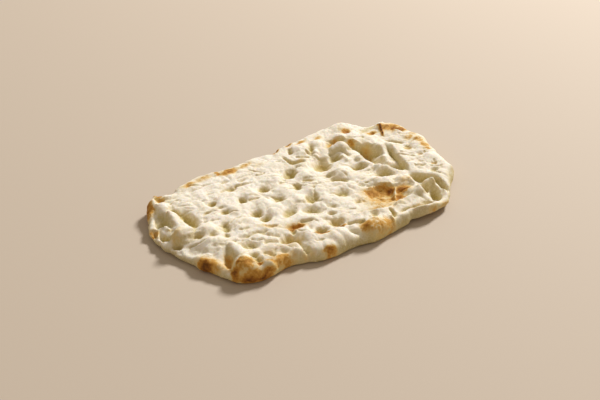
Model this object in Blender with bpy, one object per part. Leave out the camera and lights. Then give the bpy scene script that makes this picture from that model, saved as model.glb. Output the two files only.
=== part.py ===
"""A pinsa crust: a par-baked oval flatbread, dimpled by the fingertips, with a puffed and folded rim.

The crust is one closed body. A cube cut into a fine grid is pressed into the loaf's rounded slab, and then
sculpted: each dome, dimple, crease and fold is one row of a list below, worked in by one function.
"""

import math

import bmesh
import bpy
import numpy as np

MM = 0.001  # the script's sizes are millimetres, and Blender's are metres

# The slab. X runs along the crust, Z is up and the underside lies on zero.
MIDDLE_HEIGHT = 16.0  # the floor between the rims, before the dimples
RIM_SLOPE = 26.0  # the rim falls to the middle over this distance
WAIST = 5.0  # the height at which the crust is widest
FOOT_TUCK = 4.0  # the flat underside starts this far in from the edge

# The outline seen from above, anticlockwise from the right-hand end, one point to each lobe or notch.
OUTLINE = [
    (154, 4), (160, 20), (155, 34), (153, 50), (145, 63), (137, 72), (125, 73), (114, 83), (100, 92),
    (76, 93), (54, 90), (32, 89), (20, 88), (9, 83), (-11, 88), (-42, 84), (-76, 88), (-99, 83), (-113, 75),
    (-127, 75), (-140, 67), (-149, 46), (-156, 33), (-157, 22), (-154, -1), (-145, -27), (-137, -49),
    (-128, -69), (-113, -78), (-98, -78), (-77, -76), (-56, -84), (-38, -87), (-18, -86), (-3, -88),
    (8, -90), (42, -86), (54, -84), (67, -88), (82, -88), (95, -85), (108, -74), (125, -58), (141, -45),
    (143, -33), (147, -18),
]

# The rim read round the crust: bearing in degrees, the crest's height, and how far it lies in from the edge.
RIM = [
    (0, 18.5, 15), (17, 20, 13), (25.5, 17, 9), (29, 13, 10), (40, 17.5, 12), (60, 17, 13), (90, 15, 13),
    (120, 15, 12), (138, 13, 10), (147, 11, 8), (152, 15, 7), (158, 13, 6), (172, 8, 5), (188, 8, 5),
    (204, 12, 8), (216, 14, 9), (225, 13, 10), (240, 15, 11), (275, 16, 11), (290, 15, 11), (300, 12.5, 7),
    (312, 11.5, 6.5), (319, 11.5, 6.5), (326, 13, 7), (335, 17, 12), (350, 19, 15),
]

# Where the front edge curls up: bearing, half-width in degrees, height, reach inwards, and the share of
# the height that is lost from the foot up to the crest.
CURL_BEARING = 311.0
CURL_SPREAD = 17.0
CURL_LIFT = 4.5
CURL_REACH = 16.0
CURL_LOST = 0.6

# Domes: x, y, half-length, half-width, turn in degrees, height.
DOMES = [
    # the left end: behind the horn, beside the pits, and the big blister
    (-131, 50, 12, 8, 70, 5.0), (-131, 33, 14, 7, 72, 6.5), (-146, 22, 7, 6, 10, 3.5),
    (-138, 3, 13, 11, 0, 9.0), (-118, -4, 13, 10, 10, 3.5), (-138, -34, 12, 9, 100, 2.5),
    (-115, -63, 12.5, 12.5, 0, 7.0), (-97, -76, 10, 4, -40, 3.0), (-111, -45, 20, 6.5, 88, 3.5),
    # the middle and the front rim
    (14, 22, 12, 9, -20, 2.0), (-47, -62, 13, 9, 60, 2.5), (-27, -73, 14, 9, -25, 2.0),
    (9, -83, 15, 10, 0, 4.0),
    # the right end
    (33, 66, 13, 11, 0, 3.5), (42, 53, 8, 6, 60, 2.5), (55, 67, 9, 8, 30, 2.0), (70, 46, 17, 11, 25, 6.0),
    (39, 9, 14, 11, 10, 4.0), (60, -29, 13, 8, -30, 4.5), (81, -39, 12, 9, 30, 4.5),
    (96, 10, 9, 7, 75, 1.8), (99, -55, 9, 7, 0, 3.0), (75, -60, 14, 8, -35, 3.0), (94, 78, 16, 11, 0, 2.5),
]

# Dimples: x, y, half-length, half-width, turn in degrees, depth.
DIMPLES = [
    # the left end
    (-126, 66, 6, 4, -10, 4.0), (-125, 39, 8, 3.5, 100, 4.0), (-120, 20, 14, 7, 92, 5.5),
    (-142, 36, 12, 7, 79, 4.0), (-154, 27, 7.5, 6, 70, 4.0), (-150, 14, 5.5, 4.5, -40, 4.5),
    (-148, -4, 7, 4, -40, 3.5), (-127, -8, 6, 4.5, -20, 4.5), (-124, -50, 12, 4, 66, 6.0),
    (-104, -61, 7, 5, -30, 4.5), (-98, -43, 13, 8, -45, 5.0), (-101, -9, 12, 5.5, 80, 4.2),
    # the middle
    (-91, 31, 5, 4, 30, 5.5), (-89, 12, 6, 4.5, 60, 4.0), (-65, 20, 5.5, 5, 20, 6.0),
    (-66, -6, 8, 6.5, 30, 6.5), (-64, -17, 8, 7, 0, 6.0), (-38, 26, 9, 7, 55, 6.0),
    (-36, 4, 9, 7.5, 0, 4.0), (-40, -21, 13, 6, 23, 5.5), (-63, 42, 6, 5, -10, 4.0),
    (-22, -29, 12, 8, -39, 6.0), (-10, -13, 10, 8, 30, 6.0), (-9, 12, 8, 5.5, 62, 6.0),
    (-1, 36, 13, 8, 40, 9.0), (-3, -36, 9, 4.5, -55, 3.5), (-11, -45, 6, 4, -35, 3.5),
    (19, -22, 11, 9, -30, 5.0), (30, -2, 12, 5, -38, 4.5), (-50, -43, 9, 4, -16, 5.5),
    (-35, -61, 8, 4.5, -35, 6.0), (-17, -58, 9, 7, -30, 7.0), (-62, -54, 13, 8, -8, 8.5),
    # the right end
    (36, 34, 17, 13, 38, 11.0), (54, 37, 13, 8, 15, 7.0), (62, 7, 11, 7, -15, 6.5),
    (74, -17, 14, 7, -35, 6.5), (88, 29, 17, 7, 70, 9.0), (95, -44, 12, 7, -50, 7.0),
    (90, -58, 12, 6, 73, 6.5), (91, -71, 13, 6.5, 62, 8.5), (76, -79, 7, 3, -20, 3.5),
    (47, -46, 22, 17, -20, 6.0), (57, -48, 11, 8, -30, 4.0), (66, 60, 8, 5, 10, 4.0),
]

# Creases and ridges: the points they run through, half-width, height (a crease's is below 0).
CREASES = [
    # the valley behind the left domes
    ([(-128, 48), (-124, 39), (-121, 29), (-121, 19), (-122, 8)], 4.5, -3.0),
    # beside the wedge of the front rim
    ([(-57, -56), (-60, -64), (-61, -72), (-61, -80)], 2.2, -3.0),
    # the curved crease under the far rim, and the crease beyond it
    ([(11, 67), (10, 58), (12, 51), (19, 47), (27, 46)], 2.0, -4.0),
    ([(26, 75), (22, 69), (20, 63)], 2.2, -3.0),
    # the thin ridge through the scorched hollow
    ([(66, -42), (61, -48), (56, -54), (51, -60)], 1.6, 3.2),
    # between the front hollows of the right end
    ([(101, -54), (97, -59), (91, -66), (85, -73)], 2.8, 2.6),
    ([(102, -46), (105, -55), (106, -65), (105, -75)], 2.6, -4.5),
    # beside the pillow of dough
    ([(108, 25), (107, 17), (105, 8), (103, -1), (100, -11), (97, -23), (93, -33)], 2.0, -2.2),
    ([(87, 30), (85, 16), (85, 4), (89, -5), (94, -12), (99, -20)], 6.5, -6.5),
    # the groove inside the front rim
    ([(84, -81), (74, -80), (65, -78.5), (57, -77), (49, -76), (40, -77)], 2.4, -4.0),
    ([(37, -68), (36, -75), (32, -82)], 2.0, -3.2),
]

# Folds: the points they run through, the lip's height on the left of the run and its reach,
# the drop on the right of the run and its reach, and the width of the step between them.
FOLDS = [
    # the wedge of the front rim
    ([(-61, -81), (-65, -73), (-71, -66), (-80, -60), (-91, -52)], 2.5, 9, 2.5, 6, 2.5),
    # the big fold's upper lip, over its deep valley
    ([(70, 66), (78, 58), (84, 48), (89, 38), (94, 28), (98, 18), (99, 6)], 4.5, 34, 7.5, 14, 7.5),
    # the puffed end over the crevice
    ([(110, 25), (109, 17), (107, 8), (104, 0), (101, -10), (98, -20), (94, -30)], 2.5, 26, 5.0, 16, 8.0),
    # the second lip, at the front of the puffed end
    ([(90, -31), (97, -37), (103, -44), (107, -54), (108, -64), (105, -75)], 1.0, 14, 4.5, 7, 4.0),
    # the smooth roll along the front
    ([(86, -58), (78, -59), (68, -63), (52, -64), (34, -66), (14, -62), (-2, -60)], 2.5, 9, 1.5, 6, 4.0),
]

GRID_STEPS = (170, 100, 10)  # how finely the cube is cut, along, across and up
TRIANGLES = 9200  # kept after thinning, most of them where the relief is
OUTLINE_STEPS = 16  # points between two outline points
FOLD_STEPS = 8  # points between two points of a crease or fold
UNDERSIDE = -0.999  # the cube's points below this make the flat underside
WALL_SHARE = 0.9999  # points beyond this share of the way out from the middle make the side wall
SPOT_REACH = 2.0  # a spot's height is that of the highest point this near to it
BRUSH_DEPTH = 13.0  # a brush fades out this far above and below the surface it was set on
WELL_FLOOR = 0.15  # the middle share of a dimple that is pressed evenly
WELL_SHARE = 0.65  # the share of a dimple's depth that its steep well holds
SKIRT = 2.1  # a dimple's shallow skirt is this much wider than its well
SKIRT_SHARE = 0.45  # and holds this share of the depth
OVERLAP = 0.35  # where two dimples overlap, the shallower adds this share of itself
CREASE_FALL = 1.2  # how fast a crease falls off towards its sides
END_FADE = 0.2  # a crease or fold fades out over this share of its run, at both ends

CRUST_COLOUR = (0.83, 0.74, 0.55, 1.0)  # floured, barely browned dough
CRUST_ROUGHNESS = 0.85


def smooth_step(value):
    """0 below 0, 1 above 1 and a smooth rise between them."""
    t = np.clip(value, 0.0, 1.0)
    return t * t * (3.0 - 2.0 * t)


def spline(points, steps, closed=False):
    """Catmull-Rom curve through the points."""
    knots = np.array(points, float)
    if closed:
        knots = np.concatenate([knots[-1:], knots, knots[:2]])
    else:
        knots = np.concatenate([2 * knots[:1] - knots[1:2], knots, 2 * knots[-1:] - knots[-2:-1]])
    t = np.linspace(0.0, 1.0, steps, endpoint=False)[:, None]
    run = []
    for a, b, c, d in zip(knots, knots[1:], knots[2:], knots[3:]):
        bend = (2 * a - 5 * b + 4 * c - d) * t**2 + (3 * b - 3 * c + d - a) * t**3
        run.append(0.5 * (2 * b + (c - a) * t + bend))
    if not closed:
        run.append(knots[-2:-1])
    return np.concatenate(run)


def round_trip(bearing, knots):
    """Reads (degrees, value) knots at each bearing, all the way round."""
    angles = np.radians([a for a, _ in knots])
    values = np.array([v for _, v in knots], float)
    turn = 2 * math.pi
    return np.interp(bearing, np.concatenate([angles - turn, angles, angles + turn]), np.tile(values, 3))


def edge_distance(bearing):
    """How far the outline lies from the middle at each bearing."""
    loop = spline(OUTLINE, OUTLINE_STEPS, closed=True)
    angles = np.arctan2(loop[:, 1], loop[:, 0])
    order = np.argsort(angles)
    return np.interp(bearing, angles[order], np.hypot(loop[:, 0], loop[:, 1])[order], period=2 * math.pi)


def slab(cube):
    """Presses the cube's surface points into the rounded slab, top, wall and underside."""
    u, v, w = cube.T
    half = np.array([0.5 * (np.ptp(np.array(OUTLINE)[:, axis])) for axis in (0, 1)])
    across = np.stack([u * np.sqrt(1 - v * v / 2), v * np.sqrt(1 - u * u / 2)], axis=1)
    share = np.minimum(np.hypot(across[:, 0], across[:, 1]), 1.0)  # 0 in the middle, 1 at the wall
    plan = across * half
    reach = np.hypot(plan[:, 0], plan[:, 1])
    bearing = np.arctan2(plan[:, 1], plan[:, 0])
    heading = np.stack([np.cos(bearing), np.sin(bearing)], axis=1)
    oval = reach / np.maximum(share, 1e-6)  # the plain oval's edge at this bearing
    edge = edge_distance(bearing)
    crest = round_trip(bearing % (2 * math.pi), [(a, high) for a, high, _ in RIM])
    roll = round_trip(bearing % (2 * math.pi), [(a, wide) for a, _, wide in RIM])

    # the wall runs round from the crest, over its waist, to the foot
    climb = 0.5 * math.pi * w
    inset = np.where(w > 0, roll, FOOT_TUCK) * (1.0 - np.cos(climb))
    wall = WAIST + np.sin(climb) * np.where(w > 0, crest - WAIST, WAIST)
    blend = share**4
    radius = share * (oval * (1 - blend) + edge * blend) - share * inset

    # how far in from the crest, and what the top does there
    inward = (1.0 - share) * edge
    slope = 1.0 - smooth_step(inward / RIM_SLOPE)
    top = MIDDLE_HEIGHT + (crest - MIDDLE_HEIGHT) * slope
    height = np.where(share > WALL_SHARE, wall, np.where(w > 0, top, 0.0))

    # the front edge curls up
    off = (np.degrees(bearing) - CURL_BEARING + 180.0) % 360.0 - 180.0
    curl = CURL_LIFT * smooth_step(1.0 - np.abs(off) / CURL_SPREAD) * smooth_step(1.0 - inward / CURL_REACH)
    height = height + curl * (1.0 - CURL_LOST * height / crest)
    return np.column_stack([heading * radius[:, None], height])


def top_level(points, x, y):
    """The height of the top surface near a spot."""
    near = np.hypot(points[:, 0] - x, points[:, 1] - y)
    return points[near < near.min() + SPOT_REACH, 2].max()


def brush_distance(points, row):
    """How far out in a brush each point lies: 0 in its middle and 1 at its edge."""
    x, y, long, wide, turn, _ = row
    c, s = math.cos(math.radians(turn)), math.sin(math.radians(turn))
    dx, dy = points[:, 0] - x, points[:, 1] - y
    along = (dx * c + dy * s) / long
    across = (dy * c - dx * s) / wide
    depth = (points[:, 2] - top_level(points, x, y)) / BRUSH_DEPTH
    return np.sqrt(along**2 + across**2 + depth**2)


def domes(points):
    """How far the domes push the surface out; where two meet, the higher one stands."""
    out = np.zeros(len(points))
    for row in DOMES:
        out = np.maximum(out, row[5] * np.clip(1.0 - brush_distance(points, row) ** 2, 0.0, 1.0))
    return out


def dimples(points):
    """How far the fingertips press the surface in."""
    pressed = np.zeros(len(points))
    for row in DIMPLES:
        away = brush_distance(points, row)
        well = WELL_SHARE * (1.0 - smooth_step((away - WELL_FLOOR) / (1.0 - WELL_FLOOR)))
        depth = row[5] * (well + SKIRT_SHARE * (1.0 - smooth_step(away / SKIRT)))
        pressed = np.maximum(pressed, depth) + OVERLAP * np.minimum(pressed, depth)
    return pressed


def along_run(points, knots):
    """Each point's distance from a run, the same with its side (left is above 0), and a fade at both ends."""
    run = spline(knots, FOLD_STEPS)
    gap = np.full(len(points), np.inf)
    side = np.zeros(len(points))
    travel = np.zeros(len(points))
    for index, (a, b) in enumerate(zip(run, run[1:])):
        step = b - a
        offset = points[:, :2] - a
        t = np.clip(offset @ step / (step @ step), 0.0, 1.0)
        away = np.hypot(*(offset - t[:, None] * step).T)
        closer = away < gap
        cross = step[0] * offset[:, 1] - step[1] * offset[:, 0]
        gap = np.where(closer, away, gap)
        side = np.where(closer, np.sign(cross) * away, side)
        travel = np.where(closer, (index + t) / (len(run) - 1), travel)
    fade = smooth_step(travel / END_FADE) * smooth_step((1.0 - travel) / END_FADE)
    depth = np.abs(points[:, 2] - top_level(points, *run[len(run) // 2])) / BRUSH_DEPTH
    return gap, side, fade * (1.0 - smooth_step(depth))


def crease(points, row):
    """How far one crease sinks the surface, or one ridge lifts it."""
    knots, wide, height = row
    gap, _, fade = along_run(points, knots)
    return height * fade * np.exp(-CREASE_FALL * (gap / wide) ** 2)


def fold(points, row):
    """One fold: a lip on the left of its run and a drop on the right."""
    knots, lip, lip_reach, drop, drop_reach, wide = row
    gap, side, fade = along_run(points, knots)
    left = smooth_step(0.5 + side / wide)
    raised = lip * left * (1.0 - smooth_step(gap / lip_reach))
    sunk = drop * (1.0 - left) * (1.0 - smooth_step(gap / drop_reach))
    return fade * (raised - sunk)


def surface_normals(mesh_data, points):
    """Vertex normals of the grid when its points stand here."""
    for vertex, place in zip(mesh_data.verts, points):
        vertex.co = place
    mesh_data.normal_update()
    return np.array([vertex.normal[:] for vertex in mesh_data.verts])


def cut_cube():
    """A cube from -1 to 1, cut into GRID_STEPS along its three directions."""
    grid = bmesh.new()
    bmesh.ops.create_cube(grid, size=2.0)
    for axis, steps in enumerate(GRID_STEPS):
        runs = [e for e in grid.edges if abs(e.verts[0].co[axis] - e.verts[1].co[axis]) > 1.0]
        bmesh.ops.subdivide_edges(grid, edges=runs, cuts=steps - 1, use_grid_fill=True)
    return grid


def make_crust():
    """The crust's mesh, in metres."""
    grid = cut_cube()
    grid.verts.ensure_lookup_table()
    cube = np.array([vertex.co[:] for vertex in grid.verts])
    points = slab(cube)
    normals = surface_normals(grid, points)
    moved = normals * (domes(points) - dimples(points))[:, None]
    for row in CREASES:
        moved[:, 2] += crease(points, row)
    for row in FOLDS:
        moved[:, 2] += fold(points, row)
    resting = cube[:, 2] < UNDERSIDE
    moved[resting] = 0.0
    points = points + moved
    points[:, 2] = np.maximum(points[:, 2], 0.0)
    points[:, :2] -= 0.5 * (points[:, :2].max(axis=0) + points[:, :2].min(axis=0))
    for vertex, place in zip(grid.verts, points * MM):
        vertex.co = place
    bmesh.ops.triangulate(grid, faces=grid.faces[:])
    mesh = bpy.data.meshes.new("crust")
    grid.to_mesh(mesh)
    grid.free()
    return mesh


def crust_material():
    """Floured dough, dry and matt."""
    material = bpy.data.materials.new("floured crust")
    material.use_nodes = True
    shader = material.node_tree.nodes["Principled BSDF"]
    shader.inputs["Base Color"].default_value = CRUST_COLOUR
    shader.inputs["Roughness"].default_value = CRUST_ROUGHNESS
    shader.inputs["Metallic"].default_value = 0.0
    material.diffuse_color = CRUST_COLOUR
    return material


def main():
    for thing in list(bpy.data.objects):
        bpy.data.objects.remove(thing, do_unlink=True)
    collection = bpy.data.collections.new("pinsa crust")
    bpy.context.scene.collection.children.link(collection)
    mesh = make_crust()
    mesh.materials.append(crust_material())
    mesh.shade_smooth()
    crust = bpy.data.objects.new("crust", mesh)
    collection.objects.link(crust)
    thinning = crust.modifiers.new("thinning", "DECIMATE")
    thinning.ratio = TRIANGLES / len(mesh.polygons)


main()
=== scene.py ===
import math

import bmesh
import bpy
import numpy as np
from mathutils import Matrix, Vector, noise


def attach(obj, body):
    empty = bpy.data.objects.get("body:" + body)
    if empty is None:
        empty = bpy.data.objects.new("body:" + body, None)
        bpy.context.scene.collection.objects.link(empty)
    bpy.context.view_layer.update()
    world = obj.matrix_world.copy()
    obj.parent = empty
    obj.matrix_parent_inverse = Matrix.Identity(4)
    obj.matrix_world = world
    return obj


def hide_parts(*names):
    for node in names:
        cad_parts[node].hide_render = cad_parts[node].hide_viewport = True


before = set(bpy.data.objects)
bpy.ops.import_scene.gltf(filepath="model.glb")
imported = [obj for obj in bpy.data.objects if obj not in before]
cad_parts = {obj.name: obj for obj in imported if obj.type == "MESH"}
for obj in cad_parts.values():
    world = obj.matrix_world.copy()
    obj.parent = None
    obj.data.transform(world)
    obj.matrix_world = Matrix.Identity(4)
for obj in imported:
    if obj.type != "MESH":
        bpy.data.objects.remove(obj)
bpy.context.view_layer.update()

mm = 0.001

# One par-baked pinsa: a slab of airy dough, stretched by hand, pressed all over with the fingertips and
# dusted with flour. Places are in the plan of the crust, x along it and y across it, in millimetres,
# and turns and bearings are in degrees from the x axis.

slab = {
    "middle": 16.0,  # level of the middle
    "slope": 26.0,  # how far in from the rim the level changes
    "waist": 5.0,  # height of the widest part of the side
    "tuck": 4.0,  # how far the side draws in to the flat underside
    # where the edge lifts, and how much less it lifts at its crest than at its foot
    "curl": {"bearing": 311.0, "spread": 17.0, "lift": 4.5, "reach": 16.0, "lost": 0.6},
    "grid": (480, 284, 18),  # cuts of the block along x, y and z
    "flat": -0.999,  # the block's points below this make the flat underside
    "wall": 0.9999,  # points past this share of the way out from the middle make the side
    "lying": 0.01,  # the underside lies flat where it is no higher than this
    "triangles": 192000,  # of the finished mesh
    "centre": (2.01, 1.37),  # place of the frame's own middle in this plan
}

# the edge seen from above, anticlockwise from the right end
outline = [
    (154, 4), (160, 20), (155, 34), (153, 50), (145, 63), (137, 72), (125, 73), (114, 83), (100, 92),
    (76, 93), (54, 90), (32, 89), (20, 88), (9, 83), (-11, 88), (-42, 84), (-76, 88), (-99, 83), (-113, 75),
    (-127, 75), (-140, 67), (-149, 46), (-156, 33), (-157, 22), (-154, -1), (-145, -27), (-137, -49),
    (-128, -69), (-113, -78), (-98, -78), (-77, -76), (-56, -84), (-38, -87), (-18, -86), (-3, -88),
    (8, -90), (42, -86), (54, -84), (67, -88), (82, -88), (95, -85), (108, -74), (125, -58), (141, -45),
    (143, -33), (147, -18),
]

# bearing, height of the rim's crest, and how far in from the edge it lies
rim = [
    (0, 18.5, 15), (10, 18.5, 15), (17, 20, 13), (23, 18.5, 11), (25.5, 17, 9), (27.5, 13.5, 10),
    (29, 13, 10), (33, 16.5, 11), (38, 18, 11), (45, 17, 13), (60, 17, 13), (90, 15, 13), (120, 15, 12),
    (138, 13, 10), (147, 11, 8), (151, 15, 7), (157, 13, 6), (165, 11, 6), (172, 8, 5), (188, 8, 5),
    (196, 10, 6), (204, 12, 8), (216, 14, 9), (225, 13, 10), (240, 15, 11), (255, 15, 11), (275, 16, 11),
    (290, 15, 11), (300, 12.5, 7), (312, 11.5, 6.5), (319, 11.5, 6.5), (326, 13, 7), (335, 17, 12),
    (350, 19, 15),
]

# x, y, half length, half width, turn, height, and the level of a dome on the side
domes = [
    # left end
    (-131, 50, 12, 8, 70, 5.0), (-131, 33, 14, 7, 72, 6.5), (-146, 22, 7, 6, 10, 3.5),
    (-154, 28, 11, 9, 70, 2.4, 8.0), (-138, 3, 13, 11, 0, 9.0), (-118, -4, 13, 10, 10, 3.5),
    (-124, -24, 14, 10, 10, 2.0), (-138, -34, 12, 9, 100, 2.5), (-115, -63, 12.5, 12.5, 0, 7.0),
    (-97, -76, 10, 4, -40, 3.0), (-111, -45, 20, 6.5, 88, 3.5),
    # middle
    (-77, 8, 12, 10, 0, 1.2), (-52, 3, 11, 9, 30, 1.5), (-75, 30, 14, 10, 20, 1.0),
    (-52, 25, 11, 9, 20, 1.2), (-26, 12, 11, 9, 30, 1.5), (-24, -8, 11, 9, 0, 1.5),
    (-50, -12, 10, 8, 20, 1.0), (-85, -12, 14, 12, 20, 1.2), (0, -2, 11, 9, 20, 1.0),
    (14, 22, 12, 9, -20, 2.0), (-18, 34, 11, 9, 20, 1.5), (2, -24, 9, 8, 0, 1.0),
    (-47, -62, 13, 9, 60, 2.5), (-8, -57, 9, 7, -20, 1.5), (-27, -73, 14, 9, -25, 2.0),
    (-30, -45, 10, 7, -30, 1.0),
    # right half
    (33, 66, 13, 11, 0, 3.5), (42, 53, 8, 6, 60, 2.5), (55, 67, 9, 8, 30, 2.0), (70, 46, 17, 11, 25, 6.0),
    (39, 9, 14, 11, 10, 4.0), (71, 18, 6, 5, 0, 2.5), (60, -29, 13, 8, -30, 4.5), (81, -39, 12, 9, 30, 4.5),
    (22, 45, 9, 8, 0, 1.5), (96, 10, 9, 7, 75, 1.8), (88, 41, 6, 4, 60, 0.8), (78, -8, 14, 6, -40, 1.5),
    (99, -55, 9, 7, 0, 3.0), (75, -60, 14, 8, -35, 3.0), (9, -83, 15, 10, 0, 4.0),
    (46, -84, 10, 5, -10, 1.0), (76, -86, 14, 5, -5, 1.0), (130, 55, 10, 8, 0, 2.0),
    (94, 78, 16, 11, 0, 2.5),
]

# x, y, half length, half width, turn, depth, and the level of a hollow in the side
dimples = [
    # left end
    (-126, 66, 6, 4, -10, 4.0), (-125, 39, 8, 3.5, 100, 4.0), (-120, 22, 13, 7, 97, 5.5),
    (-121, 9, 6, 5, 60, 4.5), (-142, 36, 12, 7, 79, 4.0), (-154, 27, 7.5, 6, 70, 7.5, 8.0),
    (-150, 14, 5.5, 4.5, -40, 4.5), (-148, -4, 7, 4, -40, 3.5), (-116, -14, 6, 3, -20, 2.0),
    (-127, -8, 6, 4.5, -20, 4.5), (-110, 11, 7, 4, 60, 2.0), (-124, -50, 12, 4, 66, 6.0),
    (-104, -64, 7, 4, -30, 4.0), (-98, -43, 13, 8, -45, 5.0), (-104, -58, 6, 4, -30, 3.5),
    (-107, -20, 6, 3.5, 80, 3.5),
    # middle
    (-101, -9, 12, 5.5, 80, 4.2), (-91, 31, 5, 4, 30, 5.5), (-89, 12, 6, 4.5, 60, 4.0),
    (-65, 20, 5.5, 5, 20, 6.0), (-66, -6, 8, 6.5, 30, 6.5), (-64, -17, 8, 7, 0, 6.0),
    (-38, 26, 9, 7, 55, 6.0), (-36, 4, 9, 7.5, 0, 4.0), (-40, -21, 13, 6, 23, 5.5),
    (-63, 42, 6, 5, -10, 4.0), (-22, -29, 12, 8, -39, 6.0), (-10, -13, 10, 8, 30, 6.0),
    (-9, 12, 8, 5.5, 62, 6.0), (-1, 36, 13, 8, 40, 9.0), (-6, 42, 7, 3, 80, 2.0), (4, 14, 8, 3, -45, 3.0),
    (-3, -36, 9, 4.5, -55, 3.5), (-11, -45, 6, 4, -35, 3.5), (19, -22, 11, 9, -30, 5.0),
    (21, -43, 6, 5, 0, 3.0), (30, -2, 12, 5, -38, 4.5), (27, 9, 8, 4, -35, 3.0), (-5, -8, 7, 4, -20, 1.5),
    (-50, -43, 9, 4, -16, 5.5), (-35, -61, 8, 4.5, -35, 6.0), (-17, -58, 9, 7, -30, 7.0),
    (-64, -55, 12, 8, -8, 8.0), (-56, -49, 6, 4, 60, 4.0), (-12, -79, 7, 3, -60, 3.5),
    (-62, 57, 7, 3, 0, 2.0), (-46, 50, 6, 3, 0, 2.0), (41, -22, 6, 4, -35, 2.0),
    (-41, -53, 8, 3.5, 70, 2.5), (-79, -68, 6, 3, -30, 2.5), (-61, -79, 8, 3.5, 70, 3.0),
    (-79, -38, 6, 3, -30, 2.0),
    # right half
    (36, 34, 17, 13, 38, 11.0), (54, 37, 13, 8, 15, 7.0), (62, 7, 11, 7, -15, 6.5),
    (74, -17, 14, 7, -35, 6.5), (88, 29, 17, 7, 70, 9.0), (84, -1, 8, 3, -55, 3.0),
    (95, -44, 12, 7, -50, 7.0), (90, -58, 12, 6, 73, 6.5), (91, -71, 13, 6.5, 62, 8.5),
    (76, -79, 7, 3, -20, 3.5), (47, -46, 22, 17, -20, 6.0), (57, -43, 9, 7, -30, 3.0),
    (54, -57, 9, 6, -30, 3.0), (120, 24, 12, 3, -50, 2.5), (124, 6, 6, 5, 0, 3.0), (124, -12, 4, 3, 0, 2.5),
    (124, -33, 5, 3, -35, 2.5), (116, -42, 6, 5, 0, 3.0), (114, 50, 4, 3, 0, 2.0), (92, 66, 6, 5, 0, 2.0),
    (19, -69, 6, 4, 0, 2.5), (66, 60, 8, 5, 10, 4.0), (88, 54, 7, 3.5, -30, 3.0), (42, 59, 9, 3, 65, 2.0),
]

# points along a fold, its half width, and the height of a ridge or, below zero, the depth of a crease
folds = [
    # lip, arch and horn of the left end
    ([(-156, 23), (-155, 16), (-152, 11), (-149, 6), (-151, 0), (-150, -6), (-146, -9), (-141, -7),
      (-135, -11)], 2.4, 1.8),
    ([(-148, 30), (-151, 24), (-154, 17)], 1.3, 2.6),
    ([(-148, 31), (-144, 29), (-142, 23), (-143, 16)], 2.0, 2.0),
    ([(-126, 76), (-131, 70), (-134, 62), (-135, 54)], 3.0, 3.0),
    # valley behind the left domes
    ([(-128, 48), (-124, 39), (-121, 29), (-121, 19), (-122, 8)], 4.5, -3.0),
    # creases of the left half
    ([(-106, -64), (-106, -68), (-107, -73)], 2.0, -2.5),
    ([(-96, -60), (-92, -64), (-88, -69)], 2.0, -2.0),
    ([(-103, -29), (-93, -32), (-84, -32), (-78, -35), (-72, -33)], 1.8, -2.0),
    ([(-88, -48), (-80, -50), (-73, -53)], 2.2, -2.5),
    ([(-74, -28), (-68, -31), (-62, -35)], 1.6, -1.6),
    ([(-79, -39), (-73, -44), (-68, -48)], 1.8, -1.8),
    ([(-57, -56), (-60, -64), (-61, -72), (-61, -80)], 2.2, -3.0),
    ([(-73, -52), (-67, -55), (-60, -55)], 2.5, -2.5),
    ([(-44, -40), (-39, -42), (-32, -46)], 1.5, -1.5),
    ([(-60, 44), (-52, 43), (-44, 41)], 1.2, -1.2),
    ([(-62, 18), (-56, 15), (-50, 13)], 1.4, -1.5),
    # the curved crease and its neighbours on the far side
    ([(11, 67), (10, 58), (12, 51), (19, 47), (27, 46)], 1.8, -4.0),
    ([(20, 58), (24, 54), (30, 52), (34, 49)], 1.4, -2.5),
    ([(26, 75), (22, 69), (20, 63)], 2.0, -3.0),
    ([(47, 68), (42, 59), (36, 50)], 2.6, -2.0),
    # layered folds beside the white dome
    ([(49, 46), (57, 44), (64, 41), (67, 34), (66, 26)], 1.8, -2.5),
    ([(58, 38), (61, 34), (60, 26), (57, 18)], 1.8, 2.0),
    # thin ridge through the scorched hollow
    ([(66, -42), (61, -48), (56, -54), (51, -60)], 1.2, 3.2),
    ([(36, -30), (45, -31), (53, -32), (60, -36), (68, -40), (74, -46)], 2.0, 1.8),
    # ridges between the front hollows of the right end
    ([(101, -54), (97, -59), (91, -66), (85, -73)], 2.8, 2.6),
    ([(102, -46), (105, -55), (106, -65), (105, -75)], 2.4, -4.5),
    ([(90, -49), (97, -50), (101, -54), (99, -60), (100, -68), (101, -76), (96, -83)], 2.6, 2.2),
    # crevice beside the pillow of dough, the trough next to it, and a swelling in front of them
    ([(108, 25), (107, 17), (105, 8), (103, -1), (100, -11), (97, -23), (93, -33)], 1.4, -2.2),
    ([(87, 30), (85, 16), (85, 4), (89, -5), (94, -12), (99, -20)], 6.5, -6.5),
    ([(82, -40), (83, -50), (79, -61), (78, -74)], 4.0, 2.5),
    # seams of the rim
    ([(37, -68), (36, -75), (32, -82)], 1.8, -3.2),
    ([(84, -81), (74, -80), (65, -78.5), (57, -77), (49, -76), (40, -77)], 1.9, -4.0),
    ([(28, -86), (42, -83), (53, -82), (62, -83.5), (70, -86), (80, -86), (90, -85)], 2.4, 2.0),
    ([(-12, -66), (-4, -69), (6, -74)], 1.8, -2.5),
    ([(28, -78), (29, -83), (28, -88)], 1.6, 2.5),
    ([(131, 63), (126, 51), (118, 37)], 1.4, 1.5),
    # a wrinkle of the puffed end, and a pinch in a hollow near the front edge
    ([(104, -24), (110, -29), (117, -31)], 1.5, -1.2),
    ([(-20, -66), (-17, -66), (-14, -68)], 1.6, -2.0),
]

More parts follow.
